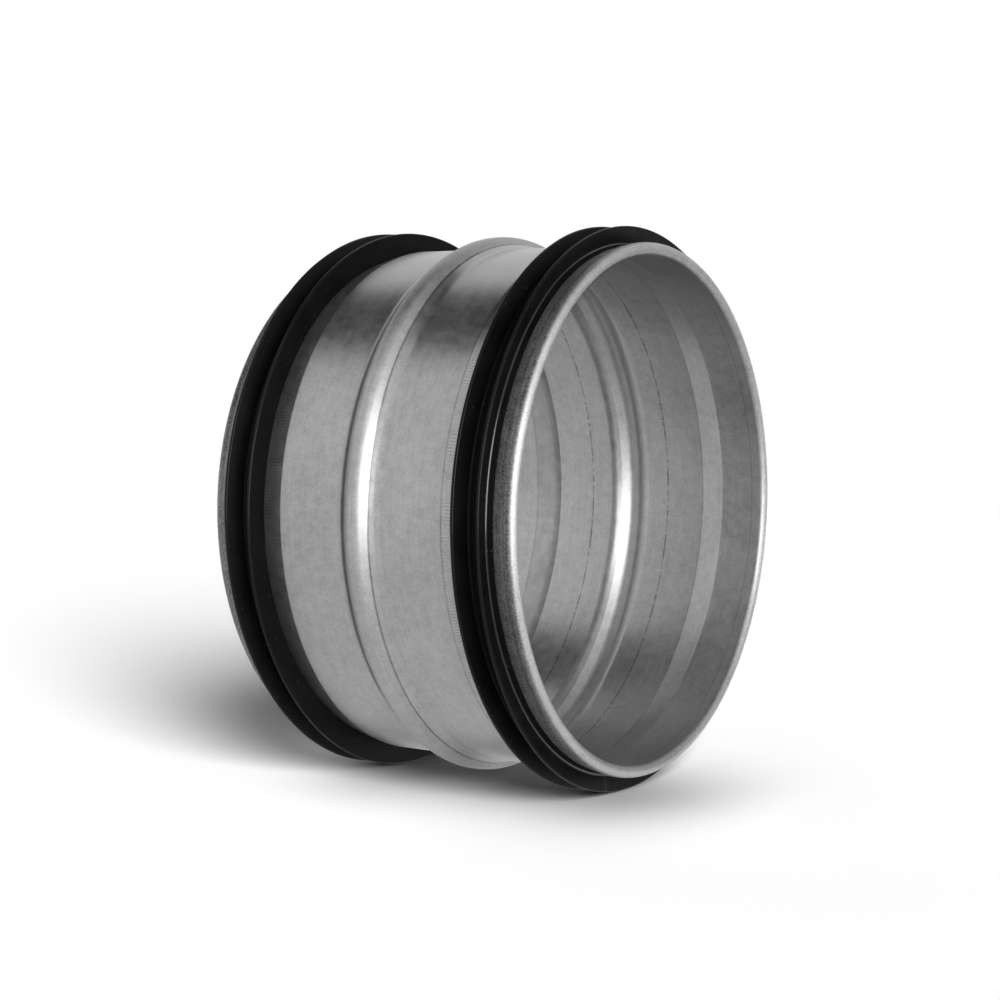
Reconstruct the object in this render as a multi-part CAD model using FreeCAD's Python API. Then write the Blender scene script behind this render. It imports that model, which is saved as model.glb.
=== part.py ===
"""Push-fit connector for round ventilation duct, nominal 125 mm.

A sleeve of thin galvanised sheet has a stop bead round its middle and a spigot to each side of it. Each
spigot carries a rubber ring with two lips, whose foot is held under the folded-back end of the sheet.
Millimetres. The axis is Z, and the connector stands on its lower end at Z = 0.
"""
import FreeCAD, Part
import math
import os

# Sleeve: one sheet, measured over its outside
spigot_diameter = 123.2      # across the plain band of each spigot
length = 80.6                # from nose to nose
sheet = 0.5                  # thickness of the sheet

# Stop bead round the middle: a ridge with straight flanks, on a low skirt
bead_height = 2.9            # crest above the band
bead_top_offset = 1.2        # from the middle to the bend between crest and flank
bead_foot_offset = 3.2       # to the foot of the flank
bead_foot_height = 1.05      # of that foot above the band
bead_skirt_offset = 5.0      # to where the skirt runs out into the band
bead_crown_radius = 2.4      # bends, at the middle of the sheet
bead_foot_radius = 0.5
bead_skirt_radius = 4.0

# Shoulder and gasket channel of each spigot, from the middle of the connector
crease_offset = 21.75        # where the band turns in
crease_radius = 0.7
channel_offset = 28.3        # where the shoulder meets the channel floor
channel_radius = 1.5
channel_depth = 1.7          # of the channel floor below the band

# End fold: the sheet turns out and back over the foot of the gasket
fold_height = 2.9            # over both layers, at the nose
hem_length = 5.3             # from the nose to the cut edge
hem_angle = 11.5             # how far the hem is pressed down on the foot, in degrees

# Gasket ring, offsets from the middle of the connector
gasket_clearance = 0.05      # between the rubber and the sheet
lip_height = 4.55            # of the free lips above the band
base_step = 0.4              # top of the base above the band
inner_lip_offset = 27.5      # outer faces of the two lips, at their roots
outer_lip_offset = 33.2
inner_lip_lean = 0.5         # the lips lean away from each other, measured at their tips
outer_lip_lean = 1.2
lip_root_thickness = 1.5
lip_tip_thickness = 0.8
lip_edge_radius = 0.35       # at the tips
lip_root_fillet = 0.6

band_radius = spigot_diameter / 2
floor_radius = band_radius - channel_depth
lip_radius = band_radius + lip_height
half_sheet = sheet / 2


def offset_corners(corners, shift):
    """Corners of a path that runs beside this one, to the left of its direction by shift.

    A corner is (offset along the axis, radius from the axis, bend radius).
    """
    points = [FreeCAD.Vector(along, radius, 0) for along, radius, bend in corners]
    runs = [(after - before).normalize() for before, after in zip(points, points[1:])]
    sides = [FreeCAD.Vector(-run.y, run.x, 0) for run in runs]
    moved = []
    for index, (point, corner) in enumerate(zip(points, corners)):
        before = sides[max(index - 1, 0)]
        after = sides[min(index, len(sides) - 1)]
        place = point + (before + after) * (shift / (1 + before.dot(after)))
        turns_left = before.cross(after).z > 0
        bend = corner[2] - shift if turns_left else corner[2] + shift
        moved.append((place.x, place.y, bend))
    return moved


def rounded_path(corners):
    """Straight edges joined by tangent arcs at the corners. A bend of 0 leaves a sharp corner."""
    points = [FreeCAD.Vector(along, radius, 0) for along, radius, bend in corners]
    edges = []
    here = points[0]
    for index in range(1, len(points)):
        run = (points[index] - points[index - 1]).normalize()
        start = end = points[index]
        bend = corners[index][2] if index < len(points) - 1 else 0
        if bend:
            next_run = (points[index + 1] - points[index]).normalize()
            half_turn = run.getAngle(next_run) / 2
            start = points[index] - run * (bend * math.tan(half_turn))
            end = points[index] + next_run * (bend * math.tan(half_turn))
            inward = (next_run - run).normalize()
            crown = points[index] + inward * (bend / math.cos(half_turn) - bend)
        if (start - here).Length > 1e-6:
            edges.append(Part.LineSegment(here, start).toShape())
        if bend:
            edges.append(Part.Arc(start, crown, end).toShape())
        here = end
    return edges


def turned_ring(outline):
    """A closed outline in (offset, radius) coordinates, turned once round the axis."""
    section = Part.Face(Part.Wire(Part.sortEdges(outline)[0]))
    offset_to_z = FreeCAD.Rotation(FreeCAD.Vector(1, 1, 1), -120)
    section.Placement = FreeCAD.Placement(FreeCAD.Vector(0, 0, length / 2), offset_to_z)
    return section.revolve(FreeCAD.Vector(0, 0, 0), FreeCAD.Vector(0, 0, 1), 360)


def mirrored_end(shape):
    """The same piece at the other end of the connector."""
    return shape.mirror(FreeCAD.Vector(0, 0, length / 2), FreeCAD.Vector(0, 0, 1))


def sheet_path():
    """Middle line of the sheet, from the crest of the bead to the cut edge of the end fold."""
    nose = length / 2 - half_sheet
    fold_bend = (fold_height - sheet) / 2
    closing = math.radians(hem_angle)
    fold_rise = fold_bend * (1 + math.tan((math.pi / 2 + closing) / 2))
    hem_edge = length / 2 - hem_length
    hem_drop = (nose - hem_edge) * math.tan(closing)
    band = band_radius - half_sheet
    floor = floor_radius - half_sheet
    return [
        (0, band + bead_height, 0),
        (bead_top_offset, band + bead_height, bead_crown_radius),
        (bead_foot_offset, band + bead_foot_height, bead_foot_radius),
        (bead_skirt_offset, band, bead_skirt_radius),
        (crease_offset, band, crease_radius),
        (channel_offset, floor, channel_radius),
        (nose, floor, fold_bend),
        (nose, floor + fold_rise, fold_bend),
        (hem_edge, floor + fold_rise - hem_drop, 0),
    ]


def sleeve():
    """The whole sheet, both spigots, as one ring."""
    half = sheet_path()
    path = [(-along, radius, bend) for along, radius, bend in reversed(half[1:])] + half[1:]
    outside = offset_corners(path, half_sheet)
    inside = offset_corners(path, -half_sheet)
    outline = rounded_path(outside) + rounded_path(inside)
    for end in (0, -1):
        outline += rounded_path([outside[end], inside[end]])
    return turned_ring(outline)


def gasket():
    """The ring of the upper spigot: a foot in the end fold, a base in the channel and two lips."""
    half = sheet_path()
    seat = offset_corners(half, half_sheet + gasket_clearance)
    crease, channel, fold_in, fold_out, hem_inside = seat[4:]
    hem_outside = offset_corners(half, -half_sheet)[-1]

    # The base starts on the shoulder and stops short of the cut edge of the hem
    shoulder_fall = (channel[1] - crease[1]) / (channel[0] - crease[0])
    base_start = (inner_lip_offset, crease[1] + shoulder_fall * (inner_lip_offset - crease[0]), 0)
    hem_face = hem_outside[0] - gasket_clearance
    hem_fall = (fold_out[1] - hem_inside[1]) / (fold_out[0] - hem_inside[0])
    foot_neck = (hem_face, hem_inside[1] + hem_fall * (hem_face - hem_inside[0]), 0)

    base_top = band_radius + base_step
    outer_tip = outer_lip_offset + outer_lip_lean
    inner_tip = inner_lip_offset - inner_lip_lean
    outline = [
        base_start,
        channel,
        fold_in,
        fold_out,
        foot_neck,
        (hem_face, hem_outside[1], 0),
        (outer_lip_offset, base_top, lip_root_fillet),
        (outer_tip, lip_radius, lip_edge_radius),
        (outer_tip - lip_tip_thickness, lip_radius, lip_edge_radius),
        (outer_lip_offset - lip_root_thickness, base_top, lip_root_fillet),
        (inner_lip_offset + lip_root_thickness, base_top, lip_root_fillet),
        (inner_tip + lip_tip_thickness, lip_radius, lip_edge_radius),
        (inner_tip, lip_radius, lip_edge_radius),
        base_start,
    ]
    return turned_ring(rounded_path(outline))


upper_gasket = gasket()
pieces = {
    "sleeve": sleeve(),
    "upper_gasket": upper_gasket,
    "lower_gasket": mirrored_end(upper_gasket),
}

os.makedirs("parts", exist_ok=True)
for name, shape in pieces.items():
    shape.exportStep("parts/" + name + ".step")
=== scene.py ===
import math

import bpy
from mathutils import Matrix, Vector


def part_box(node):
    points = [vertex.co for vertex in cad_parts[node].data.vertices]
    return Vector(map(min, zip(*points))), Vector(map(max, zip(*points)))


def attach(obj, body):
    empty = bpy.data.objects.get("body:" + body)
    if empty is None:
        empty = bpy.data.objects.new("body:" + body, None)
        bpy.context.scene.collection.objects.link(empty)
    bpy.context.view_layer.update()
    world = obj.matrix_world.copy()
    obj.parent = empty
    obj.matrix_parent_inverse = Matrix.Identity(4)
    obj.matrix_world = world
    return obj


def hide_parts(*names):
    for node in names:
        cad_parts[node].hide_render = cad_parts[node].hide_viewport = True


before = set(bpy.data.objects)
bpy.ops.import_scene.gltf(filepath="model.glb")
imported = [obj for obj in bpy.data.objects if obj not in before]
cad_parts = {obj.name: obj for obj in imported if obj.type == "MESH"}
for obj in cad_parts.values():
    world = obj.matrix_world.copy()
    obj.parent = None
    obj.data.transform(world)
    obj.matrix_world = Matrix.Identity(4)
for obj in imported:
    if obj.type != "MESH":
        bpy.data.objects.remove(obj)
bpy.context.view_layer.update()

# Sleeve: one strip of galvanised steel sheet, rolled to a ring and joined end to end.
# Rolls press out the stop bead and set in the two gasket channels. Each end is folded
# out and back, and the fold grips the foot of a rubber ring.
mm = 0.001
sleeve_low, sleeve_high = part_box("sleeve")
half_length = (sleeve_high.z - sleeve_low.z) / 2
middle_height = (sleeve_low.z + sleeve_high.z) / 2
crest_radius = sleeve_high.x
sheet = 0.5 * mm
bead_height = 2.9 * mm
bead_top_offset = 1.2 * mm
bead_foot_offset = 3.2 * mm
bead_foot_height = 1.05 * mm
bead_skirt_offset = 5.0 * mm
bead_crown_radius = 2.4 * mm
bead_foot_radius = 0.5 * mm
bead_skirt_radius = 4.0 * mm
crease_offset = 21.75 * mm
crease_radius = 0.7 * mm
channel_offset = 28.3 * mm
channel_radius = 1.5 * mm
channel_depth = 1.7 * mm
fold_height = 2.9 * mm
hem_length = 5.3 * mm
hem_angle = math.radians(11.5)
bend_step = math.radians(8)
sharp_edge = math.radians(40)
ring_segments = 384
wavy_offset = 24 * mm
sheet_wander = 0.05 * mm
band_radius = crest_radius - bead_height
half_sheet = sheet / 2
hem_edge_offset = half_length - hem_length


def shifted(corners, shift):
    """Corners (offset, radius, bend) of a path beside this one, to the left by shift."""
    points = [Vector(corner[:2]) for corner in corners]
    runs = [(after - before).normalized() for before, after in zip(points, points[1:])]
    sides = [Vector((-run.y, run.x)) for run in runs]
    moved = []
    for index, corner in enumerate(corners):
        before = sides[max(index - 1, 0)]
        after = sides[min(index, len(sides) - 1)]
        place = points[index] + (before + after) * (shift / (1 + before.dot(after)))
        turns_left = before.cross(after) > 0
        moved.append((place.x, place.y, corner[2] - shift if turns_left else corner[2] + shift))
    return moved


def rounded(corners):
    """Points along the path, with its bends as arcs that turn by at most bend_step at a time."""
    points = [Vector(corner[:2]) for corner in corners]
    drawn = []
    for index, (point, corner) in enumerate(zip(points, corners)):
        bend = corner[2] if 0 < index < len(points) - 1 else 0
        if not bend:
            drawn.append(point)
            continue
        run = (point - points[index - 1]).normalized()
        next_run = (points[index + 1] - point).normalized()
        turn = math.atan2(run.cross(next_run), run.dot(next_run))
        start = point - run * bend * math.tan(abs(turn) / 2)
        side = Vector((-run.y, run.x)) * math.copysign(bend, turn)
        count = max(2, math.ceil(abs(turn) / bend_step))
        for part in range(count + 1):
            drawn.append(start + side + Matrix.Rotation(turn * part / count, 2) @ -side)
    return drawn


def sheet_path():
    """Middle line of the sheet, from the crest of the bead to the cut edge of the fold."""
    nose = half_length - half_sheet
    fold_bend = (fold_height - sheet) / 2
    fold_rise = fold_bend * (1 + math.tan((math.pi / 2 + hem_angle) / 2))
    hem_drop = (nose - hem_edge_offset) * math.tan(hem_angle)
    band = band_radius - half_sheet
    floor = band - channel_depth
    return [
        (bead_top_offset, band + bead_height, bead_crown_radius),
        (bead_foot_offset, band + bead_foot_height, bead_foot_radius),
        (bead_skirt_offset, band, bead_skirt_radius),
        (crease_offset, band, crease_radius),
        (channel_offset, floor, channel_radius),
        (nose, floor, fold_bend),
        (nose, floor + fold_rise, fold_bend),
        (hem_edge_offset, floor + fold_rise - hem_drop, 0),
    ]


def section_mesh(name, points, **values):
    """The closed section as a chain of points, with one value per point for each attribute."""
    mesh = bpy.data.meshes.new(name)
    mesh.from_pydata([(p.y, 0, middle_height + p.x) for p in points], [], [])
    for attribute, numbers in values.items():
        layer = mesh.attributes.new(attribute, "FLOAT", "POINT")
        layer.data.foreach_set("value", numbers)
    return mesh


class Nodes:
    """A node tree being put together, with short calls for its nodes."""

    def __init__(self, tree):
        self.tree = tree

    def feed(self, socket, source):
        """Link the socket to another node's output, or set it to a plain value."""
        if hasattr(source, "is_linked"):
            self.tree.links.new(source, socket)
        else:
            socket.default_value = source

    def node(self, kind, links=(), **settings):
        """A new node with these settings and inputs; returns its outputs."""
        made = self.tree.nodes.new(kind)
        for key, value in settings.items():
            setattr(made, key, value)
        for socket, source in links:
            self.feed(made.inputs[socket], source)
        return made.outputs

    def calc(self, operation, *values):
        """The result of one sum."""
        return self.node("ShaderNodeMath", list(enumerate(values)), operation=operation)[0]


def turned_ring_tree():
    """Geometry nodes that turn a chain of section points once round Z into a closed ring."""
    tree = bpy.data.node_groups.new("turned ring", "GeometryNodeTree")
    sockets = {}
    for label, kind in (("Section", "Geometry"), ("Segments", "Int"), ("Wander", "Float"),
                        ("Finish", "Material")):
        sockets[label] = tree.interface.new_socket(
            label, in_out="INPUT", socket_type="NodeSocket" + kind).identifier
    tree.interface.new_socket("Ring", in_out="OUTPUT", socket_type="NodeSocketGeometry")
    turner = Nodes(tree)
    node, calc = turner.node, turner.calc

    given = node("NodeGroupInput")
    size = node("GeometryNodeAttributeDomainSize", [("Geometry", given["Section"])])
    last = calc("SUBTRACT", size["Point Count"], 1)
    grid = node("GeometryNodeMeshGrid", [
        ("Size X", last), ("Size Y", 1.0), ("Vertices X", size["Point Count"]),
        ("Vertices Y", calc("ADD", given["Segments"], 1))])
    place = node("ShaderNodeSeparateXYZ", [(0, node("GeometryNodeInputPosition")[0])])
    index = calc("ADD", place["X"], calc("MULTIPLY", last, 0.5))
    angle = calc("MULTIPLY", place["Y"], 2 * math.pi)

    def from_section(value, kind):
        return node("GeometryNodeSampleIndex", [
            ("Geometry", given["Section"]), ("Value", value), ("Index", calc("ROUND", index))],
            data_type=kind, domain="POINT")[0]

    def read(attribute):
        return node("GeometryNodeInputNamedAttribute", [("Name", attribute)], data_type="FLOAT")[0]

    point = from_section(node("GeometryNodeInputPosition")[0], "FLOAT_VECTOR")
    round_axis = dict(rotation_type="Z_AXIS")
    compass = node("ShaderNodeVectorRotate", [("Vector", (1, 0, 0)), ("Angle", angle)], **round_axis)
    noise = node("ShaderNodeTexNoise", [
        ("Vector", compass[0]), ("Scale", 2.2), ("Detail", 3.0), ("Roughness", 0.45)])
    drift = calc("MULTIPLY", calc("SUBTRACT", noise[0], 0.5), given["Wander"])
    along = node("ShaderNodeCombineXYZ", [
        ("Z", calc("MULTIPLY", drift, from_section(read("give"), "FLOAT")))])
    moved = node("ShaderNodeVectorMath", [(0, point), (1, along[0])], operation="ADD")
    turned = node("ShaderNodeVectorRotate", [("Vector", moved[0]), ("Angle", angle)], **round_axis)
    marked = node("GeometryNodeStoreNamedAttribute", [
        ("Geometry", grid["Mesh"]), ("Name", "outside"), ("Value", from_section(read("outside"), "FLOAT"))],
        data_type="FLOAT", domain="POINT")
    ring = node("GeometryNodeSetPosition", [("Geometry", marked[0]), ("Position", turned[0])])
    closed = node("GeometryNodeMergeByDistance", [("Geometry", ring[0]), ("Distance", 0.001 * mm)])
    smooth = node("GeometryNodeSetShadeSmooth", [("Geometry", closed[0])])
    real = node("GeometryNodeRealizeInstances", [("Geometry", smooth[0])])
    finished = node("GeometryNodeSetMaterial", [("Geometry", real[0]), ("Material", given["Finish"])])
    node("NodeGroupOutput", [(0, finished[0])])
    return tree, sockets


def in_scene(name, data):
    """A new object in the scene that shows this data."""
    made = bpy.data.objects.new(name, data)
    bpy.context.scene.collection.objects.link(made)
    return made


ring_tree, ring_sockets = turned_ring_tree()


def turned_piece(name, section, wander, finish):
    """The section turned into a ring by the tree, as a plain mesh object."""
    seed = in_scene(name + "_section", section)
    turner = seed.modifiers.new("turned ring", "NODES")
    turner.node_group = ring_tree
    turner[ring_sockets["Segments"]] = ring_segments
    turner[ring_sockets["Wander"]] = wander
    turner[ring_sockets["Finish"]] = finish
    graph = bpy.context.evaluated_depsgraph_get()
    mesh = bpy.data.meshes.new_from_object(seed.evaluated_get(graph), depsgraph=graph)
    seed.modifiers.remove(turner)
    bpy.data.objects.remove(seed)
    mesh.name = name
    mesh.set_sharp_from_angle(angle=sharp_edge)
    piece = in_scene(name, mesh)
    flat_faces = piece.modifiers.new("flat faces stay flat", "WEIGHTED_NORMAL")
    flat_faces.keep_sharp = True
    return piece


# The sheet wanders a little between its shoulders, and "outside" tells its two faces apart
half_path = sheet_path()
whole_path = [(-offset, radius, bend) for offset, radius, bend in reversed(half_path)] + half_path
outer = rounded(shifted(whole_path, half_sheet))
inner = rounded(shifted(whole_path, -half_sheet))
sleeve_points = outer + inner[::-1] + outer[:1]
sleeve_section = section_mesh(
    "sleeve section", sleeve_points,
    outside=[1] * len(outer) + [0] * len(inner) + [1],
    give=[1 if abs(p.x) < wavy_offset else 0 for p in sleeve_points])


class Finish(Nodes):
    """A material being put together. A mask is 1 on a mark and 0 beside it."""

    def ramp(self, value, low, high, to_low=0.0, to_high=1.0, shape="SMOOTHSTEP"):
        """Value carried over from low and high to to_low and to_high, with eased ends."""
        return self.node("ShaderNodeMapRange", [
            ("Value", value), ("From Min", low), ("From Max", high),
            ("To Min", to_low), ("To Max", to_high)], interpolation_type=shape)[0]

    def line(self, value, centre, half_width):
        """1 on the line where value equals centre, falling to 0 at half_width from it."""
        return self.ramp(self.calc("ABSOLUTE", self.calc("SUBTRACT", value, centre)),
                         0.0, half_width, 1.0, 0.0)

    def stretch(self, value, start, end, soft):
        """1 between start and end, with soft ends."""
        return self.times(self.ramp(value, start - soft, start + soft),
                          self.ramp(value, end - soft, end + soft, 1.0, 0.0))

    def opposite(self, mask):
        return self.calc("SUBTRACT", 1.0, mask)

    def centred(self, noise):
        """The noise about 0 in place of one half."""
        return self.calc("SUBTRACT", noise, 0.5)

    def times(self, first, *others):
        for other in others:
            first = self.calc("MULTIPLY", first, other)
        return first

    def total(self, *parts):
        """Sum of the parts, each a value with its weight."""
        amount = 0.0
        for value, weight in parts:
            amount = self.calc("MULTIPLY_ADD", value, weight, amount)
        return amount

    def noise(self, place, scale, detail=2.0, roughness=0.5):
        return self.node("ShaderNodeTexNoise", [
            ("Vector", place), ("Scale", scale), ("Detail", detail), ("Roughness", roughness)])[0]

    def grey(self, value):
        return self.node("ShaderNodeCombineColor", [(0, value), (1, value), (2, value)])[0]

    def effect(self, group, **values):
        """A shared effect with this material's own values; returns its outputs."""
        made = self.tree.nodes.new("ShaderNodeGroup")
        made.node_tree = group
        for label, source in values.items():
            self.feed(made.inputs[label], source)
        return made.outputs

    def surface(self, shader):
        self.node("ShaderNodeOutputMaterial", [("Surface", shader[0])])


def new_finish(name):
    """An empty material, and its tree to put nodes in."""
    material = bpy.data.materials.new(name)
    material.use_nodes = True
    material.node_tree.nodes.clear()
    return material, Finish(material.node_tree)


def effect_group(name, inputs, outputs):
    """An empty shader group with these sockets; returns its nodes, its inputs and a call to end it."""
    tree = bpy.data.node_groups.new(name, "ShaderNodeTree")
    for in_out, sockets in (("INPUT", inputs), ("OUTPUT", outputs)):
        for label, kind in sockets.items():
            tree.interface.new_socket(label, in_out=in_out, socket_type="NodeSocket" + kind)
    group = Finish(tree)

    def give_out(**values):
        group.node("NodeGroupOutput", list(values.items()))
        return tree

    return group, group.node("NodeGroupInput"), give_out


def ring_place_group():
    """Where a point lies on the ring: how far from the middle, on which side, and how far round."""
    group, given, give_out = effect_group(
        "place on the ring", {"Place": "Vector", "Middle": "Float"},
        {"Offset": "Float", "Side": "Float", "Turn": "Float", "Radius": "Float"})
    place = group.node("ShaderNodeSeparateXYZ", [(0, given["Place"])])
    side = group.calc("SUBTRACT", place["Z"], given["Middle"])
    radius = group.calc("SQRT", group.total((place["X"], place["X"]), (place["Y"], place["Y"])))
    return give_out(Offset=group.calc("ABSOLUTE", side), Side=side, Radius=radius,
                    Turn=group.calc("ARCTAN2", place["Y"], place["X"]))


def round_grain_group():
    """Fine lines that run round the axis, as rolls and dies leave them, fading in and out."""
    group, given, give_out = effect_group(
        "lines round the axis", {"Place": "Vector", "Lines": "Float", "Run": "Float"},
        {"Grain": "Float"})
    scale = group.node("ShaderNodeCombineXYZ", [(0, given["Run"]), (1, given["Run"]), (2, given["Lines"])])
    drawn = group.node("ShaderNodeVectorMath", [(0, given["Place"]), (1, scale[0])], operation="MULTIPLY")
    return give_out(Grain=group.noise(drawn[0], 1.0, 3.0, 0.6))


ring_place = ring_place_group()
round_grain = round_grain_group()
zinc_grey = 0.37
roll_teeth = 520
bead_roll_offset = 11.4 * mm
# Where a painted shade line runs round the inside, just short of the end fold
end_shade_offset = half_length - 3.6 * mm


def galvanised_sheet():
    """Satin zinc: mottled grey, fine roll lines, grit on the folded ends, marks of the forming rolls, painted
    shade and highlights.
    """
    material, zinc = new_finish("galvanised_sheet")
    place = zinc.node("ShaderNodeTexCoord")["Object"]
    ring = zinc.effect(ring_place, Place=place, Middle=middle_height)
    outside = zinc.node("ShaderNodeAttribute", attribute_name="outside")["Fac"]
    inside = zinc.opposite(outside)

    grain = zinc.effect(round_grain, Place=place, Lines=2600.0, Run=55.0)[0]
    streak = zinc.effect(round_grain, Place=place, Lines=900.0, Run=20.0)[0]
    mottle = zinc.noise(place, 420.0, 4.0, 0.62)
    cloud = zinc.noise(place, 45.0, 3.0, 0.55)
    speck = zinc.noise(place, 2300.0, 2.0, 0.7)

    # The end fold shows the sheet's inside, gritty all over, with painted shade darkening the hem and a
    # painted highlight on the nose
    hem = zinc.times(zinc.ramp(ring["Radius"], band_radius - 1.4 * mm, band_radius - 0.8 * mm),
                     zinc.ramp(ring["Offset"], hem_edge_offset - 1.5 * mm, hem_edge_offset - 0.5 * mm))
    nose = zinc.ramp(ring["Offset"], half_length - 1.1 * mm, half_length - 0.3 * mm)
    fold = zinc.times(inside, zinc.calc("MAXIMUM", hem, nose))
    hem_streaks_and_painted_shade = zinc.times(fold, zinc.opposite(nose))
    painted_nose_highlight = zinc.times(nose, zinc.ramp(ring["Radius"], band_radius - 1.2 * mm, band_radius - 0.6 * mm))

    # Short axial marks that the teeth of the channel roll leave on the shoulder
    ticks = zinc.calc("SINE", zinc.calc("MULTIPLY", ring["Turn"], roll_teeth))
    broken = zinc.ramp(zinc.noise(place, 260.0), 0.40, 0.60)
    shoulder = zinc.stretch(
        ring["Offset"], crease_offset + 0.35 * mm, channel_offset - 0.9 * mm, 0.3 * mm)
    hatch = zinc.times(ticks, broken, shoulder, outside)

    # Broken lines, now thin and now thick, that the bead rolls leave on the inside
    dashes = zinc.ramp(zinc.noise(place, 1100.0, 1.0), 0.36, 0.50)
    half_width = zinc.ramp(zinc.noise(place, 300.0), 0.3, 0.7, 0.08 * mm, 0.30 * mm, "LINEAR")
    from_line = zinc.calc("ABSOLUTE", zinc.calc("SUBTRACT", ring["Offset"], bead_roll_offset))
    witness = zinc.times(zinc.calc("LESS_THAN", from_line, half_width), dashes, inside)

    # Darker along the creases, and painted shade at the foot of the bead, wider on the upper side
    crease = zinc.line(ring["Offset"], crease_offset, 0.35 * mm)
    painted_upper_foot_shade = zinc.stretch(
        ring["Side"], bead_foot_offset - 0.3 * mm, bead_foot_offset + 1.2 * mm, 0.2 * mm)
    painted_lower_foot_shade = zinc.line(ring["Side"], -bead_foot_offset - 0.1 * mm, 0.3 * mm)
    painted_foot_shade = zinc.times(outside, zinc.calc("MAXIMUM", painted_upper_foot_shade, painted_lower_foot_shade))

    # Inside: a painted shade line just short of the end fold, and on the upper side only, painted light on
    # the shoulder and painted shade along the crease beside it
    painted_end_shade_line = zinc.times(inside, zinc.line(ring["Offset"], end_shade_offset, 0.2 * mm), zinc.opposite(hem))
    painted_crease_shade = zinc.times(inside, zinc.stretch(
        ring["Side"], crease_offset + 0.1 * mm, crease_offset + 0.9 * mm, 0.5 * mm))
    painted_shoulder_light = zinc.times(inside, zinc.stretch(
        ring["Side"], crease_offset + 1.6 * mm, channel_offset - 0.4 * mm, 0.5 * mm))

    # Real marks and the painted shade and light all add into one tone
    tone = zinc.total(
        (zinc.centred(mottle), 0.48), (zinc.centred(grain), 0.30), (zinc.centred(cloud), 0.35),
        (zinc.centred(speck), zinc.ramp(fold, 0.0, 1.0, 0.55, 1.2, "LINEAR")),
        (zinc.times(hem_streaks_and_painted_shade, zinc.centred(streak)), 0.9),
        (hatch, 0.18), (painted_shoulder_light, 0.28), (painted_nose_highlight, 0.35),
        (hem_streaks_and_painted_shade, -0.54), (painted_crease_shade, -0.20), (crease, -0.30), (painted_foot_shade, -0.55),
        (witness, -0.48), (painted_end_shade_line, -0.30))
    colour = zinc.grey(zinc.times(zinc_grey, zinc.calc("ADD", 1.0, tone)))

    # The stretched metal of the bead is rougher than the flat sheet, and the fold rougher still
    bead = zinc.ramp(ring["Offset"], bead_foot_offset - 0.2 * mm, bead_foot_offset, 1.0, 0.0)
    flat_rough = zinc.ramp(mottle, 0.3, 0.7, 0.28, 0.36, "LINEAR")
    rough = zinc.total((flat_rough, 1.0), (fold, 0.26), (bead, 0.16))
    height = zinc.total(
        (grain, 0.35), (speck, zinc.ramp(fold, 0.0, 1.0, 0.2, 1.6, "LINEAR")), (hatch, 0.5))
    bump = zinc.node("ShaderNodeBump", [("Strength", 0.55), ("Distance", 0.03 * mm), ("Height", height)])
    round_axis = zinc.node("ShaderNodeTangent", direction_type="RADIAL", axis="Z")
    zinc.surface(zinc.node("ShaderNodeBsdfPrincipled", [
        ("Base Color", colour), ("Metallic", 0.85), ("Roughness", rough), ("Normal", bump[0]),
        ("Anisotropic", 0.4), ("Anisotropic Rotation", 0.25), ("Tangent", round_axis[0])]))
    return material


sleeve = turned_piece("sleeve_sheet", sleeve_section, sheet_wander, galvanised_sheet())
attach(sleeve, "root")
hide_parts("sleeve")

# Gasket rings: black rubber, extruded as a strip, cut to length and joined end to end.
# The foot is gripped in the end fold, the base fills the channel, and two thin lips
# stand up to seal against the inside of the duct.
gasket_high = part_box("upper_gasket")[1]
lip_radius = gasket_high.x
gasket_clearance = 0.05 * mm
base_step = 0.4 * mm
inner_lip_offset = 27.5 * mm
outer_lip_offset = 33.2 * mm
inner_lip_lean = 0.5 * mm
outer_lip_lean = 1.2 * mm
lip_root_thickness = 1.5 * mm
lip_tip_thickness = 0.8 * mm
lip_edge_radius = 0.35 * mm
lip_root_fillet = 0.6 * mm
lip_wander = 0.5 * mm
strip_joint_turn = 2.536
base_top = band_radius + base_step
free_lip = lip_radius - base_top


def gasket_outline():
    """Corners of the rubber section at the upper end: foot, base and two lips."""
    crease, channel, fold_in, fold_out, hem_inside = shifted(half_path, half_sheet + gasket_clearance)[3:]
    hem_outside = shifted(half_path, -half_sheet)[-1]
    shoulder_fall = (channel[1] - crease[1]) / (channel[0] - crease[0])
    base_start = (inner_lip_offset, crease[1] + shoulder_fall * (inner_lip_offset - crease[0]), 0)
    hem_face = hem_outside[0] - gasket_clearance
    hem_fall = (fold_out[1] - hem_inside[1]) / (fold_out[0] - hem_inside[0])
    outer_tip = outer_lip_offset + outer_lip_lean
    inner_tip = inner_lip_offset - inner_lip_lean
    return [
        base_start, channel, fold_in, fold_out,
        (hem_face, hem_inside[1] + hem_fall * (hem_face - hem_inside[0]), 0),
        (hem_face, hem_outside[1], 0),
        (outer_lip_offset, base_top, lip_root_fillet),
        (outer_tip, lip_radius, lip_edge_radius),
        (outer_tip - lip_tip_thickness, lip_radius, lip_edge_radius),
        (outer_lip_offset - lip_root_thickness, base_top, lip_root_fillet),
        (inner_lip_offset + lip_root_thickness, base_top, lip_root_fillet),
        (inner_tip + lip_tip_thickness, lip_radius, lip_edge_radius),
        (inner_tip, lip_radius, lip_edge_radius),
        base_start,
    ]


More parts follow.
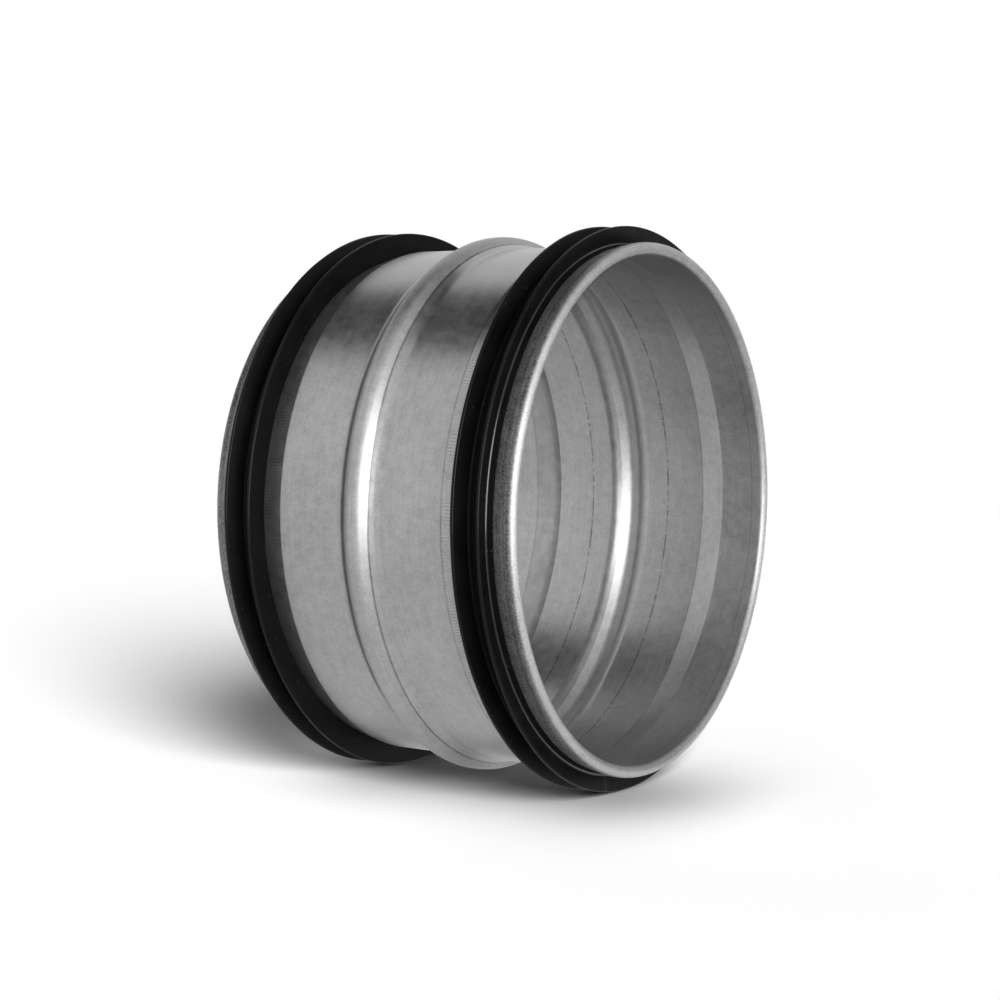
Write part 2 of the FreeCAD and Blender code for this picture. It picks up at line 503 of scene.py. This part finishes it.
def gasket_rubber():
    """Satin black rubber with the fine lines of the die, a little dust and the joint of the lower strip."""
    material, rubber = new_finish("gasket_rubber")
    place = rubber.node("ShaderNodeTexCoord")["Object"]
    ring = rubber.effect(ring_place, Place=place, Middle=middle_height)
    die_lines = rubber.effect(round_grain, Place=place, Lines=2200.0, Run=25.0)[0]
    haze = rubber.noise(place, 90.0, 3.0, 0.6)
    dust = rubber.ramp(rubber.noise(place, 1500.0, 1.0, 0.4), 0.74, 0.80)
    joint = rubber.times(rubber.line(ring["Turn"], strip_joint_turn, 0.0022),
                         rubber.calc("LESS_THAN", ring["Side"], 0.0))
    black = rubber.ramp(haze, 0.3, 0.7, 0.002, 0.005, "LINEAR")
    tone = rubber.total((black, 1.0), (dust, 0.05), (joint, 0.10))
    satin = rubber.ramp(haze, 0.3, 0.7, 0.36, 0.46, "LINEAR")
    rough = rubber.total((satin, 1.0), (die_lines, 0.10))

    # The die leaves the tips of the lips and the fillet beside the hem smooth and shiny
    tips = rubber.ramp(ring["Radius"], lip_radius - 0.5 * mm, lip_radius - 0.15 * mm)
    fillet = rubber.times(rubber.line(ring["Offset"], outer_lip_offset + 0.25 * mm, 0.45 * mm),
                          rubber.line(ring["Radius"], base_top + 0.15 * mm, 0.6 * mm))
    shine = rubber.calc("MAXIMUM", rubber.times(tips, 0.12), fillet)
    bump = rubber.node("ShaderNodeBump", [
        ("Strength", 0.4), ("Distance", 0.03 * mm), ("Height", die_lines)])
    rubber.surface(rubber.node("ShaderNodeBsdfPrincipled", [
        ("Base Color", rubber.grey(tone)), ("Roughness", rough), ("Specular IOR Level", 0.08),
        ("Coat Weight", shine), ("Coat Roughness", 0.15), ("Normal", bump[0])]))
    return material


rubber_finish = gasket_rubber()
upper_points = rounded(gasket_outline())
gaskets = []
for end, side in (("upper", 1), ("lower", -1)):
    points = [Vector((p.x * side, p.y)) for p in upper_points][::side]
    section = section_mesh(
        end + " gasket section", points, outside=[1] * len(points),
        give=[max(0, (p.y - base_top) / free_lip) for p in points])
    gasket = turned_piece(end + "_gasket_ring", section, lip_wander, rubber_finish)
    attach(gasket, "root")
    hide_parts(end + "_gasket")
    gaskets.append(gasket)

# Studio: the connector lies on its side, lower end towards the camera, on a white floor
# that touches the lips. A soft box lights it, far lamps light the floor, the background
# is plain white, and dark flags outside the view shape the reflections in the zinc.
centre = Vector((0, 0, middle_height))
near = Vector((0, 0, -1))
up = Vector((1, -1, 0)).normalized()
back = up.cross(near)


def lying(along, behind, above):
    """A place in the studio, in metres from the middle of the connector as it lies."""
    return centre + near * along + back * behind + up * above


def aimed(eye, target, upright=up):
    """A turn that points -Z from eye to target and keeps +Y as near upright as it can."""
    backward = (eye - target).normalized()
    right = upright.cross(backward).normalized()
    turn = Matrix((right, backward.cross(right), backward)).transposed()
    return Matrix.Translation(eye) @ turn.to_4x4()


bpy.context.scene.view_settings.view_transform = "Standard"
camera = in_scene("camera", bpy.data.cameras.new("camera"))
bpy.context.scene.camera = camera
camera.data.sensor_width = 36.0
camera.data.lens = 74.244
camera.data.clip_start, camera.data.clip_end = 0.01, 20.0
camera_place = lying(268.0 * mm, -423.56 * mm, 38.29 * mm)
yaw, pitch = math.radians(122.5704), math.radians(-4.2629)
gaze = lying(math.cos(yaw) * math.cos(pitch), math.sin(yaw) * math.cos(pitch), math.sin(pitch)) - centre
camera.matrix_world = aimed(camera_place, camera_place + gaze)


def soft_box(name, eye, target, width, height, brightness):
    """A rectangular lamp whose face is this bright."""
    lamp = bpy.data.lights.new(name, "AREA")
    lamp.shape = "RECTANGLE"
    lamp.size, lamp.size_y = width, height
    lamp.energy = brightness * math.pi * width * height
    box = in_scene(name, lamp)
    box.matrix_world = aimed(eye, target)
    return box


def light_only(lamp, *receivers):
    """The lamp lights these objects and nothing else, and everything still throws its shadow."""
    lit = bpy.data.collections.new(lamp.name + "_lights")
    for receiver in receivers:
        lit.objects.link(receiver)
    lamp.light_linking.receiver_collection = lit


key_box = soft_box("key_box", lying(1.16, -0.74, 0.25), centre, 1.0, 0.76, 9.0)
light_only(key_box, sleeve, *gaskets)


def stage_card(name, middle, first, second, material):
    """A flat piece of the stage that reaches by first and by second to either side of its middle."""
    mesh = bpy.data.meshes.new(name)
    mesh.from_pydata([middle + first * a + second * b for a, b in ((-1, -1), (1, -1), (1, 1), (-1, 1))],
                     [], [(0, 1, 2, 3)])
    mesh.materials.append(material)
    card = in_scene(name, mesh)
    return card


def flag_cloth(name):
    """Matt black cloth."""
    material, cloth = new_finish(name)
    weave = cloth.noise(cloth.node("ShaderNodeTexCoord")["Object"], 400.0)
    cloth.surface(cloth.node("ShaderNodeBsdfDiffuse", [("Color", cloth.grey(cloth.times(weave, 0.06)))]))
    return material


# The flags show only in what mirrors them
for name, place, target, width, height in (
        ("overhead_flag", lying(-0.20, -0.01, 0.60), lying(-0.20, -0.01, 0), 0.43, 1.0),
        ("corner_flag", lying(0.33, 0.26, 0.60), lying(0.33, 0.26, 0), 0.34, 0.5),
        ("rear_flag", lying(0.42, 0.76, 0.22), centre, 0.5, 0.5)):
    turn = aimed(place, target, near).to_3x3()
    flag = stage_card(name, place, turn.col[0] * (width / 2), turn.col[1] * (height / 2), flag_cloth(name))
    flag.visible_camera = flag.visible_diffuse = flag.visible_shadow = False

scene_world = bpy.data.worlds.new("studio")
bpy.context.scene.world = scene_world
scene_world.use_nodes = True
scene_world.node_tree.nodes.clear()
air = Finish(scene_world.node_tree)
ray = air.node("ShaderNodeLightPath")
mirrored = air.calc("MAXIMUM", ray["Is Glossy Ray"], ray["Is Transmission Ray"])
seen = air.calc("MAXIMUM", ray["Is Camera Ray"], mirrored)
glow = air.node("ShaderNodeBackground", [
    ("Color", (1, 1, 1, 1)), ("Strength", air.ramp(seen, 0.0, 1.0, 0.06, 1.0, "LINEAR"))])
air.node("ShaderNodeOutputWorld", [("Surface", glow[0])])

floor_reach = 0.9
floor_gap = 0.05 * mm
floor_white = 0.92
# Painted shade: the floor shows darker in the zinc's reflections than to the camera
mirrored_floor_white = 0.82
# How white the floor glows under the connector in reflections: a painted reflection
reflected_glow_white = 0.8


def reach_along(paint, place, start, direction):
    """How far place lies from start in this direction."""
    from_start = paint.node("ShaderNodeVectorMath", [(0, place), (1, start)], operation="SUBTRACT")[0]
    return paint.node("ShaderNodeVectorMath", [(0, from_start), (1, direction)],
                      operation="DOT_PRODUCT")["Value"]


def soft_patch(paint, place, middle, *spans):
    """1 at middle, fading like a bell along each span, which is as long as the fade is wide."""
    shares = [reach_along(paint, place, middle, span / span.length_squared) for span in spans]
    return paint.calc("EXPONENT", paint.times(paint.total(*zip(shares, shares)), -1.0))


def lying_painted_shadows(paint, place):
    """Painted shadow beside the line of contact, and deep painted shadow on the floor behind the far end,
    with their depths.
    """
    beside = soft_patch(paint, place, lying(0, -8 * mm, 0), back * (31 * mm))
    contact = paint.stretch(reach_along(paint, place, centre, near), -32 * mm, 57 * mm, 20 * mm)
    deep = soft_patch(paint, place, lying(-86 * mm, 47 * mm, 0),
                      (back * 0.68 - near * 0.73) * (60 * mm), (back * 0.73 + near * 0.68) * (28 * mm))
    return (paint.times(beside, contact), 0.58), (deep, 0.90)


def no_shades(paint, place):
    """A floor that only its lamps shade."""
    return ()


def floor_paint(name, middle, angles, shades):
    """Matt white from above and nothing from below, thinning out to the background at floor_reach.

    The camera sees it only from the angles given, as the two ends of a fade in how it faces.
    What shades returns darkens the white with painted shadow, each shade by its own depth.
    """
    material, paint = new_finish(name)
    place = paint.node("ShaderNodeTexCoord")["Object"]
    distance = paint.node("ShaderNodeVectorMath", [(0, place), (1, middle)], operation="DISTANCE")["Value"]
    shown = paint.ramp(distance, floor_reach * 0.6, floor_reach, 1.0, 0.0)
    ray = paint.node("ShaderNodeLightPath")
    facing = paint.node("ShaderNodeLayerWeight")["Facing"]
    viewed = paint.times(ray["Is Camera Ray"], paint.ramp(facing, *angles))
    seen = paint.calc("MAXIMUM", viewed, ray["Is Glossy Ray"])
    front = paint.opposite(paint.node("ShaderNodeNewGeometry")["Backfacing"])
    lit = floor_white
    for shade, depth in shades(paint, place):
        lit = paint.times(lit, paint.opposite(paint.times(shade, depth)))
    # Painted shade: in reflections the floor takes the darker mirrored white
    tone = paint.ramp(ray["Is Glossy Ray"], 0.0, 1.0, lit, mirrored_floor_white, "LINEAR")
    white = paint.node("ShaderNodeBsdfDiffuse", [("Color", paint.grey(tone))])

    # In reflections only, the floor under the connector glows white: a painted reflection that keeps its
    # underside from mirroring its own shadow
    under = paint.stretch(reach_along(paint, place, centre, back), -15 * mm, 62 * mm, 10 * mm)
    card = paint.node("ShaderNodeEmission", [("Color", paint.grey(reflected_glow_white))])
    paper = paint.node("ShaderNodeMixShader", [
        (0, paint.times(ray["Is Glossy Ray"], under)), (1, white[0]), (2, card[0])])
    clear = paint.node("ShaderNodeBsdfTransparent")
    paint.surface(paint.node("ShaderNodeMixShader", [
        (0, paint.times(shown, seen, front)), (1, clear[0]), (2, paper[0])]))
    return material


def floor_plane(name, middle, first, second, angles, shades):
    """A square floor with its front towards first x second."""
    return stage_card(name, middle, first * floor_reach, second * floor_reach,
                      floor_paint(name, middle, angles, shades))


def far_lamp(name, eye, target, width, strength):
    """A round lamp so far off that it lights a whole floor evenly; width is its angle in degrees."""
    sun = bpy.data.lights.new(name, "SUN")
    sun.angle, sun.energy = math.radians(width), strength
    lamp = in_scene(name, sun)
    lamp.matrix_world = aimed(eye, target)
    return lamp


lying_floor = floor_plane("lying_floor", lying(0, 0, -lip_radius - floor_gap), near, back,
                          (0.45, 0.60), lying_painted_shadows)
for name, place, width, strength in (
        ("floor_key", lying(0.68, -0.60, 0.42), 26, 6.3),
        ("floor_top", lying(-0.24, -0.42, 0.87), 40, 0.25),
        ("floor_side", lying(0.71, -0.19, 0.68), 30, 0.30),
        ("floor_fill", lying(-0.80, 0.35, 0.50), 50, 0.50)):
    light_only(far_lamp(name, place, centre, width, strength), lying_floor)

# For views of the connector standing on its lower end, a second floor under that end
standing_floor = floor_plane("standing_floor", Vector((0, 0, -floor_gap)), Vector((1, 0, 0)),
                             Vector((0, 1, 0)), (-1.0, 0.0), no_shades)
standing_floor.visible_glossy = standing_floor.visible_diffuse = False
for name, place in (
        ("standing_front", Vector((0.35, -0.45, 0.80))),
        ("standing_back", Vector((-0.45, 0.35, 0.80)))):
    light_only(far_lamp(name, centre + place, centre, 50, 2.1), standing_floor)
